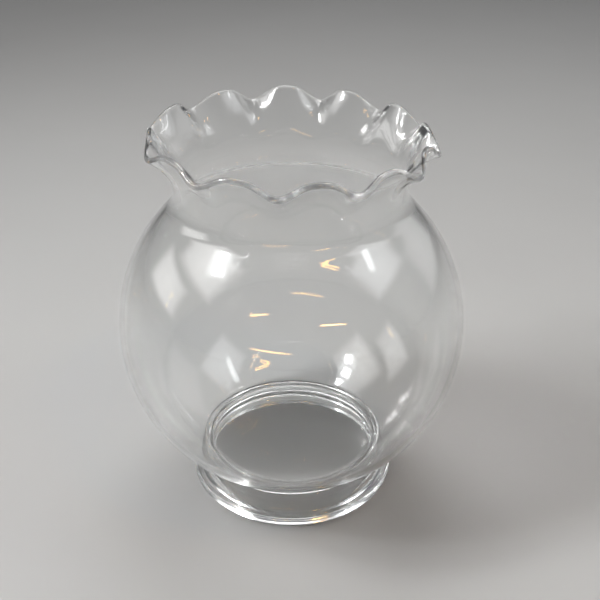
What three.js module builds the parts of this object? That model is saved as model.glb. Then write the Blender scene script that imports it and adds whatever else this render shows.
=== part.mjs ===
// Clear glass ivy bowl: a blown globe on a short heel, a flared collar crimped into ruffles
// and a pressed foot ring under the heel. Millimetres, +Z up.
// The origin is on the bowl's axis, on the surface that the foot stands on.
import * as THREE from 'three';

// Glass
const wall = 2.2;
const floorThickness = 3.7;

// Globe and the heel under it
const globeRadius = 67.5;
const heelRadius = 37.7;
const heelHeight = 5.5;
const heelFillet = 2;
const floorFillet = 2;

// Neck, where the globe draws in below the collar
const neckRadius = 42.8;
const neckFillet = 10.5;

// Collar, from the neck up to the middle of its rounded lip
const collarHeight = 19.3;
const collarSpread = 8.8;

// Ruffle of the lip: each crest stands up and leans in, each lobe hangs out and down
const ruffleCount = 12;
const ruffleRise = 2.5;
const ruffleDraw = 1.5;
const crestBreadth = 0.18;
const rufflePhase = THREE.MathUtils.degToRad(287);
const crimpGrowth = 2;

// Handwork in the ruffle: uneven spacing and depth of the crimps, and a slight lean of the whole lip
const spacingDrift = THREE.MathUtils.degToRad(52);
const driftStart = THREE.MathUtils.degToRad(97);
const depthDrift = 0.28;
const deepestToward = THREE.MathUtils.degToRad(154);
const lipLean = 1.2;
const leanToward = THREE.MathUtils.degToRad(260);

// Foot ring: a sweep from the heel down to a rolled bead
const footHeight = 9.7;
const footReach = 4.4;
const beadRadius = 2.2;
const beadMeetsSweep = THREE.MathUtils.degToRad(70);
const sweepEaseOut = 0.6;
const sweepEaseDown = 3.4;

// Hollow underneath, open at the foot and running up inside the wall of the heel
const heelWall = 2.4;
const hollowDraft = 1;
const hollowRise = 2.6;
const hollowRound = 1.2;
const contactRound = 1;

// Look of the glass
const bowlColour = 0xe6ecec;
const rimColour = 0xeef3f3;
const footColour = 0xdde5e4;
const glassRoughness = 0.04;
const glassOpacity = 0.35;

// Facets
const roundFacets = 64;
const facetsPerRuffle = 12;
const halfGlobeSteps = 8;
const neckSteps = 4;
const collarSteps = 6;
const lipSteps = 5;
const filletSteps = 3;
const beadSteps = 7;
const leastStep = 1e-6;

// Heights and places that follow from the sizes above
const innerRadius = globeRadius - wall;
const footRadius = heelRadius + footReach;
const hollowTopRadius = heelRadius - heelWall;
const hollowBottomRadius = hollowTopRadius + hollowDraft;
const hollowLevel = footHeight + hollowRise;
const floorLevel = hollowLevel + floorThickness;
const globeCentre = footHeight + heelHeight + Math.sqrt(globeRadius ** 2 - heelRadius ** 2);
const neckFilletReach = neckRadius + neckFillet;
const neckLevel = globeCentre + Math.sqrt((globeRadius + neckFillet) ** 2 - neckFilletReach ** 2);
const flareRadius = (collarSpread ** 2 + collarHeight ** 2) / (2 * collarSpread);
const flareTurn = Math.asin(collarHeight / flareRadius);

const point = (radius, height) => new THREE.Vector2(radius, height);

// Points of a circular arc in the profile plane, both ends included.
function arc(centre, radius, start, end, steps) {
  const clockwise = end < start;
  return new THREE.EllipseCurve(centre.x, centre.y, radius, radius, start, end, clockwise).getPoints(steps);
}

// A profile turned about the Z axis. Angle 0 is at -Y and grows towards +X.
function turned(profile, facets) {
  const distinct = profile.filter((p, i) => i === 0 || p.distanceTo(profile[i - 1]) > leastStep);
  return new THREE.LatheGeometry(distinct, facets).rotateX(Math.PI / 2);
}

function glassMesh(name, geometry, colour) {
  const material = new THREE.MeshStandardMaterial({
    color: colour,
    roughness: glassRoughness,
    metalness: 0,
    transparent: true,
    opacity: glassOpacity,
  });
  const mesh = new THREE.Mesh(geometry, material);
  mesh.name = name;
  return mesh;
}

// Globe, heel and neck in one blown wall. Inside and outside arcs share their centres.
function bowlGeometry() {
  const centre = point(0, globeCentre);
  const hollowRoundCentre = point(hollowTopRadius - hollowRound, hollowLevel - hollowRound);
  const heelReach = heelRadius + heelFillet;
  const heelFilletDrop = Math.sqrt((globeRadius + heelFillet) ** 2 - heelReach ** 2);
  const heelFilletCentre = point(heelReach, globeCentre - heelFilletDrop);
  const heelAngle = Math.atan2(-heelFilletDrop, heelReach);
  const neckFilletCentre = point(neckFilletReach, neckLevel);
  const neckAngle = Math.atan2(neckLevel - globeCentre, neckFilletReach);
  const floorFilletLevel = floorLevel + floorFillet;
  const floorFilletDrop = globeCentre - floorFilletLevel;
  const floorFlat = Math.sqrt((innerRadius - floorFillet) ** 2 - floorFilletDrop ** 2);
  const floorFilletCentre = point(floorFlat, floorFilletLevel);
  const floorAngle = Math.atan2(-floorFilletDrop, floorFlat);
  const profile = [
    point(0, hollowLevel),
    ...arc(hollowRoundCentre, hollowRound, Math.PI / 2, 0, filletSteps),
    point(hollowTopRadius, footHeight),
    point(heelRadius, footHeight),
    ...arc(heelFilletCentre, heelFillet, Math.PI, Math.PI + heelAngle, filletSteps),
    ...arc(centre, globeRadius, heelAngle, 0, halfGlobeSteps),
    ...arc(centre, globeRadius, 0, neckAngle, halfGlobeSteps),
    ...arc(neckFilletCentre, neckFillet, Math.PI + neckAngle, Math.PI, neckSteps),
    ...arc(neckFilletCentre, neckFillet + wall, Math.PI, Math.PI + neckAngle, neckSteps),
    ...arc(centre, innerRadius, neckAngle, 0, halfGlobeSteps),
    ...arc(centre, innerRadius, 0, floorAngle, halfGlobeSteps),
    ...arc(floorFilletCentre, floorFillet, floorAngle, -Math.PI / 2, filletSteps),
    point(0, floorLevel),
  ];
  return turned(profile, roundFacets);
}

// Height of the ruffle's wave at an angle: above 0 on a broad crest, below 0 in a narrow lobe.
function ruffleWave(angle) {
  const turn = ruffleCount * angle + rufflePhase + spacingDrift * Math.sin(angle - driftStart);
  const depth = 1 + depthDrift * Math.cos(angle - deepestToward);
  return depth * (Math.cos(turn) - crestBreadth * Math.cos(2 * turn));
}

// Middle of the collar's wall at a share of the way from the neck to the lip: an arc that flares out,
// crimped more and more towards the lip.
function collarMiddle(share, angle) {
  const turn = share * flareTurn;
  const wave = ruffleWave(angle);
  const crimp = share ** crimpGrowth;
  const radius = neckRadius - wall / 2 + flareRadius * (1 - Math.cos(turn)) - ruffleDraw * wave * crimp;
  const lift = (ruffleRise * wave + lipLean * Math.cos(angle - leanToward)) * crimp;
  return point(radius, neckLevel + flareRadius * Math.sin(turn) + lift);
}

// Place on the collar's skin, half a wall from its middle. Around the wall's section, 0 is outside,
// a quarter turn is over the lip and half a turn is inside.
function collarSkin({ share, around }, angle) {
  const below = collarMiddle(Math.max(share - leastStep, 0), angle);
  const along = collarMiddle(share + leastStep, angle).sub(below).normalize();
  const across = point(along.y, -along.x);
  return collarMiddle(share, angle)
    .addScaledVector(across, Math.cos(around) * wall / 2)
    .addScaledVector(along, Math.sin(around) * wall / 2);
}

// Flared collar of even thickness with a fire-polished lip.
function ruffledRimGeometry() {
  const shares = Array.from({ length: collarSteps + 1 }, (_, i) => i / collarSteps);
  const outside = shares.map((share) => ({ share, around: 0 }));
  const overLip = Array.from({ length: lipSteps - 1 }, (_, i) => {
    const around = Math.PI * (i + 1) / lipSteps;
    return { share: 1, around };
  });
  const inside = shares.map((share) => ({ share, around: Math.PI })).reverse();
  const stations = [...outside, ...overLip, ...inside, outside[0]];
  const geometry = turned(stations.map((station) => collarSkin(station, 0)), ruffleCount * facetsPerRuffle);
  const position = geometry.attributes.position;
  for (let i = 0; i < position.count; i += 1) {
    const angle = Math.atan2(position.getX(i), -position.getY(i));
    const place = collarSkin(stations[i % stations.length], angle);
    position.setXYZ(i, place.x * Math.sin(angle), -place.x * Math.cos(angle), place.y);
  }
  return geometry;
}

// Pressed ring under the heel, with a flat band to stand on and the tapered hollow inside.
function footGeometry() {
  const beadCentre = point(footRadius - beadRadius, beadRadius);
  const bead = arc(beadCentre, beadRadius, beadMeetsSweep, -Math.PI / 2, beadSteps);
  const sweep = new THREE.QuadraticBezierCurve(
    point(heelRadius, footHeight),
    point(heelRadius + sweepEaseOut, footHeight - sweepEaseDown),
    bead[0],
  );
  const taper = point(hollowTopRadius - hollowBottomRadius, footHeight).normalize();
  const corner = point(hollowBottomRadius, 0);
  const contactEdge = new THREE.QuadraticBezierCurve(
    point(hollowBottomRadius + contactRound, 0),
    corner,
    corner.clone().addScaledVector(taper, contactRound),
  );
  const profile = [
    point(hollowTopRadius, footHeight),
    ...contactEdge.getPoints(filletSteps).reverse(),
    ...bead.reverse(),
    ...sweep.getPoints(filletSteps).reverse(),
    point(hollowTopRadius, footHeight),
  ];
  return turned(profile, roundFacets);
}

const ivyBowl = new THREE.Group();
ivyBowl.add(
  glassMesh('bowl', bowlGeometry(), bowlColour),
  glassMesh('ruffled_rim', ruffledRimGeometry(), rimColour),
  glassMesh('foot', footGeometry(), footColour),
);

export default ivyBowl;
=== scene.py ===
import math

import bpy
import numpy as np
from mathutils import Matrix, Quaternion, Vector


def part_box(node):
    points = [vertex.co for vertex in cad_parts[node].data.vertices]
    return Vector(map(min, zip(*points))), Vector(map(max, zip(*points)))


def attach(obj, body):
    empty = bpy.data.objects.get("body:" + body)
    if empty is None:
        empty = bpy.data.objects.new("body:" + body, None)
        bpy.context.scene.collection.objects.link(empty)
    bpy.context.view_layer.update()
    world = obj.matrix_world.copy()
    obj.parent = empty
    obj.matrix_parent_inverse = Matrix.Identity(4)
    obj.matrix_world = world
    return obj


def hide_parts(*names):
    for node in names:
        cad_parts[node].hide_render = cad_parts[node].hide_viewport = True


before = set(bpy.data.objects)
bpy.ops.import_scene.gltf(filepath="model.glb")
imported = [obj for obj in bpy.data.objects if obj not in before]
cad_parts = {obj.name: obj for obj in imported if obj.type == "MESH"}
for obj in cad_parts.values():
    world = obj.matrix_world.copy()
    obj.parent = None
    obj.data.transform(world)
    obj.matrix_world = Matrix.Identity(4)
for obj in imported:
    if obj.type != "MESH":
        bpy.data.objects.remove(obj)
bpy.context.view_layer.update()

mm = 0.001
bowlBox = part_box("bowl")
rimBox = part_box("ruffled_rim")
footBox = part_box("foot")

# Turning: every skin of the vase is a run of (radius, height) points swung round the axis.
# Angle 0 faces the camera side, -Y, and grows towards +X.
turningSet = {
    "facetsPerRuffle": 20,
    "seamGap": 0.01 * mm,       # how far each piece stands back from its fused seams
    "samePlace": 1e-7,          # points closer than this are one
    "leastLength": 1e-15,       # on the axis a ring has no length to divide by
}


def arcPoints(centre, radius, startDeg, endDeg, steps):
    angles = np.radians(np.linspace(startDeg, endDeg, steps + 1))
    return np.column_stack((centre[0] + radius * np.cos(angles), centre[1] + radius * np.sin(angles)))


def curvePoints(start, control, end, steps):
    t = np.linspace(0, 1, steps + 1)[:, None]
    return (1 - t) ** 2 * np.array(start) + 2 * t * (1 - t) * np.array(control) + t ** 2 * np.array(end)


def linePoints(start, end, steps):
    return np.linspace(start, end, steps + 1)


def chain(*stretches):
    points = np.vstack(stretches)
    step = np.linalg.norm(np.diff(points, axis=0), axis=1)
    return points[np.concatenate(([True], step > turningSet["samePlace"]))]


def smoothStep(value, low, high):
    t = np.clip((value - low) / (high - low), 0, 1)
    return t * t * (3 - 2 * t)


# Bowl: blown globe on a heel, with a flat floor and a drawn-in neck
bowlSet = {
    "wall": 2.2 * mm,
    "heelRadius": 37.7 * mm,
    "heelHeight": 5.5 * mm,
    "heelFillet": 2.0 * mm,
    "heelWall": 2.4 * mm,       # the hollow of the foot runs up inside the heel
    "hollowRise": 2.6 * mm,
    "hollowRound": 1.2 * mm,
    "floorThickness": 3.7 * mm,
    "floorFillet": 2.0 * mm,
    "neckRadius": 42.8 * mm,
    "neckFillet": 10.5 * mm,
    "globeSteps": 100,
    "insideSteps": 90,
    "neckSteps": 14,
    "filletSteps": 10,
    "heelSteps": 6,
    "floorSteps": 12,
    "hollowRoundSteps": 8,
    "hollowWallSteps": 3,
    "waviness": 0.12 * mm,      # how far blowing left the wall uneven
    "swells": (                 # share, waves round the axis, radians for each metre up, pull of the start
        (0.45, 2, 55, 1.0),
        (0.33, 3, -90, 2.3),
        (0.22, 5, 150, 4.1),
    ),
    "outsideStart": 1.3,
    "insideStart": -2.6,        # below 0 for the skin that faces the axis
    "swellFrom": 8 * mm,        # above the foot, where the swells set in
    "swellFull": 20 * mm,
    "swellEase": 12 * mm,       # below the neck, where they die out
    "ripple": 0.02 * mm,        # chill rings low on the globe
    "ripplePitch": 4.2 * mm,
    "rippleFrom": 17 * mm,
    "rippleTo": 34 * mm,
    "rippleEaseIn": 4 * mm,
    "rippleEaseOut": 8 * mm,
    "rippleSway": 0.4,
    "tint": (0.985, 0.990, 0.988, 1),
    "ior": 1.51,
    "polish": 0.0,              # roughness of clean glass
    "film": 0.10,               # roughness where a film from hands lies thickest
    "filmScale": 34,
    "filmStretch": (1.0, 1.0, 0.35),
    "bump": 0.05 * mm,
    "bumpScale": 46,
}

globeRadius = bowlBox[1].x
footHeight = footBox[1].z
footRadius = footBox[1].x
neckLevel = rimBox[0].z
heelReach = bowlSet["heelRadius"]
hollowReach = heelReach - bowlSet["heelWall"]
globeCentre = footHeight + bowlSet["heelHeight"] + math.sqrt(globeRadius ** 2 - heelReach ** 2)
neckReach = bowlSet["neckRadius"] + bowlSet["neckFillet"]
neckAngle = math.degrees(math.atan2(neckLevel - globeCentre, neckReach))


def bowlUnderProfile():
    s = bowlSet
    ceiling = footHeight + s["hollowRise"]
    roundCentre = (hollowReach - s["hollowRound"], ceiling - s["hollowRound"])
    return chain(
        linePoints((0, ceiling), (roundCentre[0], ceiling), s["floorSteps"]),
        arcPoints(roundCentre, s["hollowRound"], 90, 0, s["hollowRoundSteps"]),
        linePoints((hollowReach, roundCentre[1]), (hollowReach, footHeight), s["hollowWallSteps"]),
    )


def bowlOuterProfile():
    s = bowlSet
    filletReach = heelReach + s["heelFillet"]
    filletDrop = math.sqrt((globeRadius + s["heelFillet"]) ** 2 - filletReach ** 2)
    heelAngle = math.degrees(math.atan2(-filletDrop, filletReach))
    filletCentre = (filletReach, globeCentre - filletDrop)
    return chain(
        linePoints((heelReach, footHeight), (heelReach, filletCentre[1]), s["heelSteps"]),
        arcPoints(filletCentre, s["heelFillet"], 180, 180 + heelAngle, s["filletSteps"]),
        arcPoints((0, globeCentre), globeRadius, heelAngle, neckAngle, s["globeSteps"]),
        arcPoints((neckReach, neckLevel), s["neckFillet"], 180 + neckAngle, 180, s["neckSteps"]),
    )


def bowlInnerProfile():
    s = bowlSet
    innerRadius = globeRadius - s["wall"]
    neckRound = s["neckFillet"] + s["wall"]
    floorLevel = footHeight + s["hollowRise"] + s["floorThickness"]
    filletLevel = floorLevel + s["floorFillet"]
    filletDrop = globeCentre - filletLevel
    floorFlat = math.sqrt((innerRadius - s["floorFillet"]) ** 2 - filletDrop ** 2)
    floorAngle = math.degrees(math.atan2(-filletDrop, floorFlat))
    return chain(
        arcPoints((neckReach, neckLevel), neckRound, 180, 180 + neckAngle, s["neckSteps"]),
        arcPoints((0, globeCentre), innerRadius, neckAngle, floorAngle, s["insideSteps"]),
        arcPoints((floorFlat, filletLevel), s["floorFillet"], floorAngle, -90, s["filletSteps"]),
        linePoints((floorFlat, floorLevel), (0, floorLevel), s["floorSteps"]),
    )


def blownDip(angle, height, start):
    # how far a blown skin dips into the glass: slow swells closed round the axis, and chill rings
    s = bowlSet
    swell = 0
    for share, around, upward, pull in s["swells"]:
        swell = swell + share * np.sin(around * angle + upward * height + pull * start)
    swellShare = smoothStep(height, footHeight + s["swellFrom"], footHeight + s["swellFull"])
    swellShare = swellShare * (1 - smoothStep(height, neckLevel - s["swellEase"], neckLevel))
    ring = np.sin(2 * math.pi * height / s["ripplePitch"] + s["rippleSway"] * np.sin(2 * angle))
    ringShare = smoothStep(height, s["rippleFrom"], s["rippleFrom"] + s["rippleEaseIn"])
    ringShare = ringShare * (1 - smoothStep(height, s["rippleTo"] - s["rippleEaseOut"], s["rippleTo"]))
    return s["waviness"] * (0.5 + 0.5 * swell) * swellShare + s["ripple"] * (0.5 + 0.5 * ring) * ringShare


# Foot: pressed ring with a rolled bead, hollow underneath
footSet = {
    "beadRadius": 2.2 * mm,
    "beadMeetsSweep": 70,       # degrees round the bead where the sweep lands
    "sweepEaseOut": 0.6 * mm,
    "sweepEaseDown": 3.4 * mm,
    "hollowDraft": 1.0 * mm,    # how much the hollow widens from the heel to the contact ring
    "contactRound": 1.0 * mm,
    "beadSteps": 28,
    "sweepSteps": 20,
    "wallSteps": 8,
    "edgeSteps": 8,
    "contactSteps": 4,
    "tint": (0.985, 0.990, 0.988, 1),
    "ior": 1.51,
    "polish": 0.0,
    "film": 0.06,
    "filmScale": 80,
    "filmStretch": (1.0, 1.0, 1.0),
    "bump": 0.06 * mm,
    "bumpScale": 120,           # pressed skin, finer than the blown one
}


def footProfile():
    s = footSet
    beadCentre = (footRadius - s["beadRadius"], s["beadRadius"])
    bead = arcPoints(beadCentre, s["beadRadius"], -90, s["beadMeetsSweep"], s["beadSteps"])
    corner = np.array((hollowReach + s["hollowDraft"], 0.0))
    wallTop = np.array((hollowReach, footHeight))
    taper = (wallTop - corner) / np.linalg.norm(wallTop - corner)
    wallFoot = corner + taper * s["contactRound"]
    contactEdge = corner + np.array((s["contactRound"], 0.0))
    sweepEase = (heelReach + s["sweepEaseOut"], footHeight - s["sweepEaseDown"])
    return chain(
        linePoints(wallTop, wallFoot, s["wallSteps"]),
        curvePoints(wallFoot, corner, contactEdge, s["edgeSteps"]),
        linePoints(contactEdge, bead[0], s["contactSteps"]),
        bead,
        curvePoints(bead[-1], sweepEase, (heelReach, footHeight), s["sweepSteps"]),
    )


# Rim: flared collar crimped by hand into ruffles, lip fire-polished
rimSet = {
    "collarHeight": 19.3 * mm,
    "collarSpread": 8.8 * mm,
    "ruffles": 12,
    "rise": 2.5 * mm,
    "draw": 1.5 * mm,
    "crimpGrowth": 2,           # how late on the way to the lip the crimp sets in
    "crestBreadth": 0.18,       # broad crests, narrow lobes
    "phase": 287,               # degrees of one wave
    "drift": 52,                # degrees of one wave, uneven spacing of the crimps
    "driftStart": 97,
    "depthDrift": 0.28,         # share of the depth, uneven hand pressure
    "deepestToward": 154,
    "lean": 1.2 * mm,
    "leanToward": 260,
    "collarSteps": 30,
    "lipSteps": 18,
    "slopeStep": 1e-4,          # share of the collar over which its slope is read
    "tint": (0.985, 0.990, 0.988, 1),
    "ior": 1.51,
    "polish": 0.0,
    "film": 0.05,
    "filmScale": 60,
    "filmStretch": (1.0, 1.0, 1.6),
    "bump": 0.04 * mm,
    "bumpScale": 90,
}


def rimStations():
    # (share of the way from the neck to the lip, degrees round the wall): outside, over the lip, inside
    s = rimSet
    return chain(
        linePoints((0, 0), (1, 0), s["collarSteps"]),
        linePoints((1, 0), (1, 180), s["lipSteps"]),
        linePoints((1, 180), (0, 180), s["collarSteps"]),
    )


def ruffleWave(angle):
    s = rimSet
    drift = math.radians(s["drift"]) * np.sin(angle - math.radians(s["driftStart"]))
    turn = s["ruffles"] * angle + math.radians(s["phase"]) + drift
    depth = 1 + s["depthDrift"] * np.cos(angle - math.radians(s["deepestToward"]))
    return depth * (np.cos(turn) - s["crestBreadth"] * np.cos(2 * turn))


def collarMiddle(share, angle):
    # middle of the collar's wall: an arc that flares out, crimped more and more towards the lip
    s = rimSet
    flareRadius = (s["collarSpread"] ** 2 + s["collarHeight"] ** 2) / (2 * s["collarSpread"])
    turn = share * math.asin(s["collarHeight"] / flareRadius)
    crimp = share ** s["crimpGrowth"]
    wave = ruffleWave(angle)
    lean = s["lean"] * np.cos(angle - math.radians(s["leanToward"]))
    waist = bowlSet["neckRadius"] - bowlSet["wall"] / 2
    radius = waist + flareRadius * (1 - np.cos(turn)) - s["draw"] * wave * crimp
    height = neckLevel + flareRadius * np.sin(turn) + (s["rise"] * wave + lean) * crimp
    return radius, height


def collarSkin(share, around, angle):
    # a wall of even thickness on both sides of its middle, closed by a round lip
    half = bowlSet["wall"] / 2
    step = rimSet["slopeStep"]
    radius, height = collarMiddle(share, angle)
    radiusAhead, heightAhead = collarMiddle(share + step, angle)
    radiusBehind, heightBehind = collarMiddle(np.maximum(share - step, 0), angle)
    alongRadius, alongHeight = radiusAhead - radiusBehind, heightAhead - heightBehind
    length = np.hypot(alongRadius, alongHeight)
    out = half * np.cos(np.radians(around)) / length
    up = half * np.sin(np.radians(around)) / length
    radius = radius + out * alongHeight + up * alongRadius
    height = height + up * alongHeight - out * alongRadius
    overshoot = max(height.max() - rimBox[1].z, 0)  # finer crests than the facets of the frame
    return radius, height - overshoot * share ** rimSet["crimpGrowth"]


def swung(profile, ruffled, blown):
    # grid of points, one row for each profile point
    columns = rimSet["ruffles"] * turningSet["facetsPerRuffle"]
    angle = np.linspace(0, 2 * math.pi, columns, endpoint=False)[None]
    radius = profile[:, :1] + 0 * angle
    height = profile[:, 1:] + 0 * angle
    if ruffled:
        radius, height = collarSkin(radius, height, angle)
    if blown:
        radius = radius - blownDip(angle, height, blown) * math.copysign(1, blown)
    return np.stack((radius * np.sin(angle), -radius * np.cos(angle), height), axis=2)


def gridNormals(grid):
    # the ring direction crossed with the profile direction, so every skin faces out of the glass
    around = np.roll(grid, -1, axis=1) - np.roll(grid, 1, axis=1)
    ahead, behind = np.empty_like(grid), np.empty_like(grid)
    ahead[:-1] = grid[1:] - grid[:-1]
    ahead[-1] = ahead[-2]
    behind[1:] = ahead[:-1]
    behind[0] = ahead[0]
    stepAhead = np.linalg.norm(ahead, axis=2, keepdims=True)
    stepBehind = np.linalg.norm(behind, axis=2, keepdims=True)
    along = ahead * stepBehind / stepAhead + behind * stepAhead / stepBehind
    normal = np.cross(around, along)
    size = np.linalg.norm(normal, axis=2, keepdims=True)
    normal = normal / np.maximum(size, turningSet["leastLength"])
    normal[0] = (0, 0, -1)
    normal[-1] = (0, 0, 1)
    return normal


# The skin of the whole vase as one run, so that normals agree where two pieces meet
runs = [
    ("bowl", bowlUnderProfile(), False, 0),
    ("foot", footProfile(), False, 0),
    ("bowl", bowlOuterProfile(), False, bowlSet["outsideStart"]),
    ("rim", rimStations(), True, 0),
    ("bowl", bowlInnerProfile(), False, bowlSet["insideStart"]),
]
grids, spans, count = [], [], 0
for owner, profile, ruffled, blown in runs:
    grid = swung(profile, ruffled, blown)
    if grids:
        grid = grid[1:]         # its first ring is the last one of the run before
        count -= 1
    grids.append(grid)
    spans.append((owner, count, count + len(profile) - 1))
    count += len(profile)
skin = np.vstack(grids)
normals = gridNormals(skin)
print("skin turned:", skin.shape[0], "rings of", skin.shape[1])


def glassPiece(name, owner, seams, glass, seamGlass):
    # quads of the skin that belong to this piece, then the flat fused seams
    columns = skin.shape[1]
    step = np.arange(columns)
    follow = np.roll(step, -1)
    points = skin.reshape(-1, 3).copy()
    faces, faceNormals, slots = [], [], []

    def strip(ringA, ringB, seamNormal):
        a, b = ringA * columns, ringB * columns
        for j, k in zip(step, follow):
            if ringA == 0:
                corners = (0, b + k, b + j)
            elif ringB == skin.shape[0] - 1:
                corners = (a + j, a + k, b)
            else:
                corners = (a + j, a + k, b + k, b + j)
            faces.append(corners)
            slots.append(0 if seamNormal is None else 1)
            for c in corners:
                faceNormals.append(normals[c // columns, c % columns] if seamNormal is None else seamNormal)

    for runOwner, first, last in spans:
        if runOwner == owner:
            for ring in range(first, last):
                strip(ring, ring + 1, None)
    for ringA, ringB, upward in seams:
        strip(ringA, ringB, (0, 0, upward))
        for ring in (ringA, ringB):
            points[ring * columns:(ring + 1) * columns, 2] -= upward * turningSet["seamGap"]
    used = np.unique(np.concatenate([np.array(f) for f in faces]))
    place = {int(v): i for i, v in enumerate(used)}
    mesh = bpy.data.meshes.new(name)
    mesh.from_pydata([tuple(points[v]) for v in used], [], [[place[int(c)] for c in f] for f in faces])
    mesh.materials.append(glass)
    mesh.materials.append(seamGlass)
    mesh.polygons.foreach_set("material_index", slots)
    mesh.polygons.foreach_set("use_smooth", [True] * len(faces))
    mesh.normals_split_custom_set([tuple(n) for n in faceNormals])
    mesh.update()
    piece = bpy.data.objects.new(name, mesh)
    bpy.context.scene.collection.objects.link(piece)
    return piece


# Glass: how the film that hands leave is spread, and how coarse the waves of the skin are
glassSet = {
    "filmTurn": (0.5, 0.3, 0.0),
    "filmDetail": 6,
    "filmDistortion": 0.8,
    "filmStarts": 0.42,         # level of the noise where the film begins, and where it is thickest
    "filmFull": 0.80,
    "bumpDetail": 1,
}


def glassMaterial(name, pieceSet):
    material = bpy.data.materials.new(name)
    material.use_nodes = True
    nodes, links = material.node_tree.nodes, material.node_tree.links
    shader = nodes["Principled BSDF"]
    shader.inputs["Base Color"].default_value = pieceSet["tint"]
    shader.inputs["IOR"].default_value = pieceSet["ior"]
    shader.inputs["Transmission Weight"].default_value = 1.0
    place = nodes.new("ShaderNodeTexCoord")
    stretch = nodes.new("ShaderNodeMapping")
    stretch.inputs["Scale"].default_value = pieceSet["filmStretch"]
    stretch.inputs["Rotation"].default_value = glassSet["filmTurn"]
    links.new(place.outputs["Object"], stretch.inputs["Vector"])
    film = nodes.new("ShaderNodeTexNoise")
    film.inputs["Scale"].default_value = pieceSet["filmScale"]
    film.inputs["Detail"].default_value = glassSet["filmDetail"]
    film.inputs["Distortion"].default_value = glassSet["filmDistortion"]
    links.new(stretch.outputs["Vector"], film.inputs["Vector"])
    wear = nodes.new("ShaderNodeMapRange")
    wear.interpolation_type = "SMOOTHSTEP"
    wear.inputs["From Min"].default_value = glassSet["filmStarts"]
    wear.inputs["From Max"].default_value = glassSet["filmFull"]
    wear.inputs["To Min"].default_value = pieceSet["polish"]
    wear.inputs["To Max"].default_value = pieceSet["film"]
    links.new(film.outputs["Fac"], wear.inputs["Value"])
    links.new(wear.outputs["Result"], shader.inputs["Roughness"])
    waves = nodes.new("ShaderNodeTexNoise")
    waves.inputs["Scale"].default_value = pieceSet["bumpScale"]
    waves.inputs["Detail"].default_value = glassSet["bumpDetail"]
    links.new(place.outputs["Object"], waves.inputs["Vector"])
    bump = nodes.new("ShaderNodeBump")
    bump.inputs["Strength"].default_value = 1.0
    bump.inputs["Distance"].default_value = pieceSet["bump"]
    links.new(waves.outputs["Fac"], bump.inputs["Height"])
    links.new(bump.outputs["Normal"], shader.inputs["Normal"])
    return material


def fusedSeamMaterial():
    # inside fused glass light goes straight on, so the seam itself shows nothing
    material = bpy.data.materials.new("fusedSeam")
    material.use_nodes = True
    nodes, links = material.node_tree.nodes, material.node_tree.links
    nodes.remove(nodes["Principled BSDF"])
    clear = nodes.new("ShaderNodeBsdfTransparent")
    links.new(clear.outputs["BSDF"], nodes["Material Output"].inputs["Surface"])
    return material


seamGlass = fusedSeamMaterial()
hollowRing, heelRing, neckOuterRing, neckInnerRing = [last for owner, first, last in spans[:4]]
bowlSeams = [(hollowRing, heelRing, -1), (neckOuterRing, neckInnerRing, 1)]
rimSeams = [(neckInnerRing, neckOuterRing, -1)]
footSeams = [(heelRing, hollowRing, 1)]
bowl = glassPiece("bowl_glass", "bowl", bowlSeams, glassMaterial("bowlGlass", bowlSet), seamGlass)
rim = glassPiece("rim_glass", "rim", rimSeams, glassMaterial("rimGlass", rimSet), seamGlass)
foot = glassPiece("foot_glass", "foot", footSeams, glassMaterial("footGlass", footSet), seamGlass)
for piece, node in ((bowl, "bowl"), (rim, "ruffled_rim"), (foot, "foot")):
    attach(piece, "root")
    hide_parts(node)
print("glass pieces made")

# Camera at the photograph's angle: distances in globe radii from the globe's centre
cameraSet = {
    "lens": 53.77,
    "sensor": 36.0,
    "distance": 5.2894,
    "elevation": 31.15,
    "aimRight": 0.0503,
    "aimUp": 0.1139,
}


def makeCamera():
    s = cameraSet
    data = bpy.data.cameras.new("photoCamera")
    data.lens = s["lens"]
    data.sensor_width = s["sensor"]
    camera = bpy.data.objects.new("photoCamera", data)
    bpy.context.scene.collection.objects.link(camera)
    elevation = math.radians(s["elevation"])
    centre = Vector((0, 0, globeCentre))
    away = Vector((0, -math.cos(elevation), math.sin(elevation)))
    up = Vector((0, math.sin(elevation), math.cos(elevation)))
    aim = centre + globeRadius * (s["aimRight"] * Vector((1, 0, 0)) + s["aimUp"] * up)
    camera.location = centre + away * s["distance"] * globeRadius
    camera.rotation_euler = (aim - camera.location).to_track_quat("-Z", "Y").to_euler()
    bpy.context.scene.camera = camera


makeCamera()
print("camera set")

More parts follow.
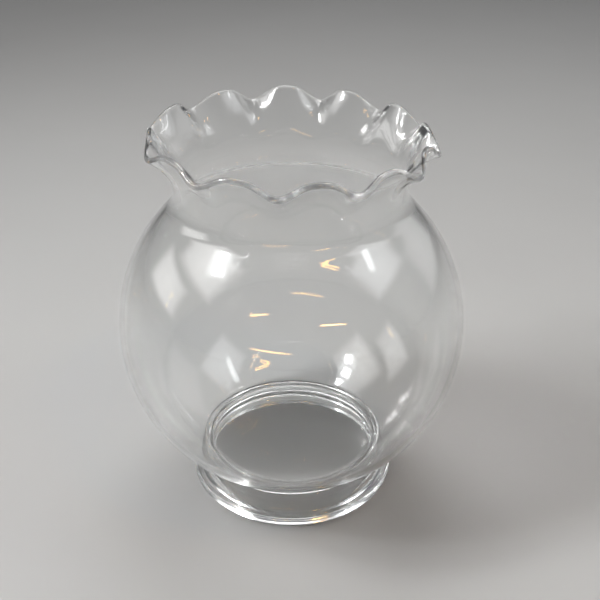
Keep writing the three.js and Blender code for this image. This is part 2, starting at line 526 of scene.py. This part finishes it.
# Studio: pale floor, soft boxes, a row of small spots and thin warm tubes. Each light is aimed at the
# globe's middle, and is placed by degrees from the camera side, degrees up and metres away.
studioSet = {
    "floorSize": 8.0,
    "floorDrop": 0.1 * mm,
    "floorPale": (0.46, 0.46, 0.455, 1),
    "floorShade": (0.43, 0.43, 0.425, 1),
    "floorRoughness": 0.6,
    "grainScale": 9,
    "grainDetail": 8,
    "airLow": (0.07, 0.071, 0.074, 1),
    "airHigh": (0.17, 0.171, 0.176, 1),
    "fadeFrom": 0.28,           # share of a box's width and height, from its middle, where it begins to fade
    "fadeTo": 0.5,
    "boxGain": 1.35,            # makes up for the faded edges
    "bounces": 128,             # light goes through many skins of glass before it dies out
    "clearBounces": 32,
    "brightest": 50,            # cap on one bright sample, high enough to keep the spots white
    "aim": ("azimuth", "elevation", "distance", "width", "height", "roll", "power", "spread"),
    "boxes": {
        "softLeft": ((-83, 42.5, 1.20, 1.05, 0.74, 0, 1.12, 75), (1, 0.99, 0.975)),
        "lowLeft": ((-98, 15, 1.10, 0.80, 0.40, 0, 0.32, 75), (1, 0.99, 0.975)),
        "spotLow": ((-70.5, 44, 1.10, 0.14, 0.14, 35, 0.40, 75), (0.97, 0.985, 1)),
        "spotMiddle": ((-81.5, 50.8, 1.10, 0.14, 0.14, 35, 0.40, 75), (0.97, 0.985, 1)),
        "spotHigh": ((-88.7, 58.3, 1.10, 0.11, 0.11, 35, 0.22, 75), (0.97, 0.985, 1)),
        "glowLeft": ((-78, 50, 1.15, 0.34, 0.60, 35, 0.26, 75), (0.97, 0.985, 1)),
        "softRight": ((83, 39, 1.25, 0.95, 0.66, 0, 0.62, 75), (0.97, 0.985, 1)),
        "gleamRight": ((83, 46.5, 1.15, 0.10, 0.44, -40, 0.10, 75), (0.97, 0.985, 1)),
        "kickRight": ((122, 14, 1.10, 0.80, 0.60, 0, 0.16, 80), (1, 1, 1)),
        "top": ((180, 58, 2.00, 1.67, 1.17, 0, 7.60, 110), (1, 1, 1)),
        "tubeNear": ((44.5, 57.3, 1.20, 0.29, 0.026, -45, 0.09, 90), (1, 0.55, 0.13)),
        "tubeFar": ((49.5, 61.3, 1.20, 0.30, 0.026, -13, 0.13, 90), (1, 0.55, 0.13)),
        "tubeLow": ((28, 24.5, 1.20, 0.37, 0.016, -12, 0.13, 90), (1, 0.58, 0.18)),
        "tubeLong": ((-12.6, 11, 1.20, 0.62, 0.02, -3, 0.11, 90), (1, 0.58, 0.18)),
    },
}


def makeFloor():
    s = studioSet
    half = s["floorSize"] / 2
    mesh = bpy.data.meshes.new("floor")
    corners = [(-half, -half), (half, -half), (half, half), (-half, half)]
    mesh.from_pydata([(x, y, -s["floorDrop"]) for x, y in corners], [], [(0, 1, 2, 3)])
    floor = bpy.data.objects.new("floor", mesh)
    bpy.context.scene.collection.objects.link(floor)
    material = bpy.data.materials.new("paleFloor")
    material.use_nodes = True
    nodes, links = material.node_tree.nodes, material.node_tree.links
    shader = nodes["Principled BSDF"]
    shader.inputs["Roughness"].default_value = s["floorRoughness"]
    place = nodes.new("ShaderNodeTexCoord")
    grain = nodes.new("ShaderNodeTexNoise")
    grain.inputs["Scale"].default_value = s["grainScale"]
    grain.inputs["Detail"].default_value = s["grainDetail"]
    links.new(place.outputs["Object"], grain.inputs["Vector"])
    tone = nodes.new("ShaderNodeValToRGB")
    tone.color_ramp.elements[0].color = s["floorShade"]
    tone.color_ramp.elements[1].color = s["floorPale"]
    links.new(grain.outputs["Fac"], tone.inputs["Fac"])
    links.new(tone.outputs["Color"], shader.inputs["Base Color"])
    mesh.materials.append(material)


def makeAir():
    # dim air, lighter overhead
    world = bpy.data.worlds.new("studioAir")
    world.use_nodes = True
    nodes, links = world.node_tree.nodes, world.node_tree.links
    place = nodes.new("ShaderNodeTexCoord")
    split = nodes.new("ShaderNodeSeparateXYZ")
    links.new(place.outputs["Generated"], split.inputs["Vector"])
    fade = nodes.new("ShaderNodeValToRGB")
    fade.color_ramp.interpolation = "EASE"
    fade.color_ramp.elements[0].color = studioSet["airLow"]
    fade.color_ramp.elements[1].color = studioSet["airHigh"]
    links.new(split.outputs["Z"], fade.inputs["Fac"])
    links.new(fade.outputs["Color"], nodes["Background"].inputs["Color"])
    bpy.context.scene.world = world


def softenEdges(light):
    # even in the middle, fading towards the four edges
    light.use_nodes = True
    nodes, links = light.node_tree.nodes, light.node_tree.links
    across = nodes.new("ShaderNodeNewGeometry")
    offset = nodes.new("ShaderNodeVectorMath")
    offset.operation = "SUBTRACT"
    offset.inputs[1].default_value = (0.5, 0.5, 0)  # the middle, on a scale from 0 to 1
    links.new(across.outputs["Parametric"], offset.inputs[0])
    spanned = nodes.new("ShaderNodeVectorMath")
    spanned.operation = "ABSOLUTE"
    links.new(offset.outputs["Vector"], spanned.inputs[0])
    split = nodes.new("ShaderNodeSeparateXYZ")
    links.new(spanned.outputs["Vector"], split.inputs["Vector"])
    reach = nodes.new("ShaderNodeMath")
    reach.operation = "MAXIMUM"
    links.new(split.outputs["X"], reach.inputs[0])
    links.new(split.outputs["Y"], reach.inputs[1])
    fade = nodes.new("ShaderNodeMapRange")
    fade.interpolation_type = "SMOOTHSTEP"
    fade.inputs["From Min"].default_value = studioSet["fadeTo"]
    fade.inputs["From Max"].default_value = studioSet["fadeFrom"]
    fade.inputs["To Min"].default_value = 0.0
    fade.inputs["To Max"].default_value = studioSet["boxGain"]
    links.new(reach.outputs["Value"], fade.inputs["Value"])
    links.new(fade.outputs["Result"], nodes["Emission"].inputs["Strength"])


def makeBoxes():
    centre = Vector((0, 0, globeCentre))
    for name, (aim, colour) in studioSet["boxes"].items():
        box = dict(zip(studioSet["aim"], aim))
        azimuth, elevation = math.radians(box["azimuth"]), math.radians(box["elevation"])
        light = bpy.data.lights.new(name, "AREA")
        light.shape = "RECTANGLE"
        light.size, light.size_y = box["width"], box["height"]
        light.energy = box["power"]
        light.color = colour
        light.spread = math.radians(box["spread"])
        softenEdges(light)
        softBox = bpy.data.objects.new(name, light)
        bpy.context.scene.collection.objects.link(softBox)
        level = math.cos(elevation)
        toward = Vector((math.sin(azimuth) * level, -math.cos(azimuth) * level, math.sin(elevation)))
        roll = Quaternion((0, 0, 1), math.radians(box["roll"]))
        softBox.location = centre + toward * box["distance"]
        softBox.rotation_euler = ((-toward).to_track_quat("-Z", "Y") @ roll).to_euler()
        softBox.visible_camera = False


def setLight():
    scene = bpy.context.scene
    scene.cycles.max_bounces = studioSet["bounces"]
    scene.cycles.transmission_bounces = studioSet["bounces"]
    scene.cycles.glossy_bounces = studioSet["bounces"]
    scene.cycles.transparent_max_bounces = studioSet["clearBounces"]
    scene.cycles.sample_clamp_indirect = studioSet["brightest"]
    scene.view_settings.view_transform = "Standard"


makeFloor()
makeAir()
makeBoxes()
setLight()
print("studio set")
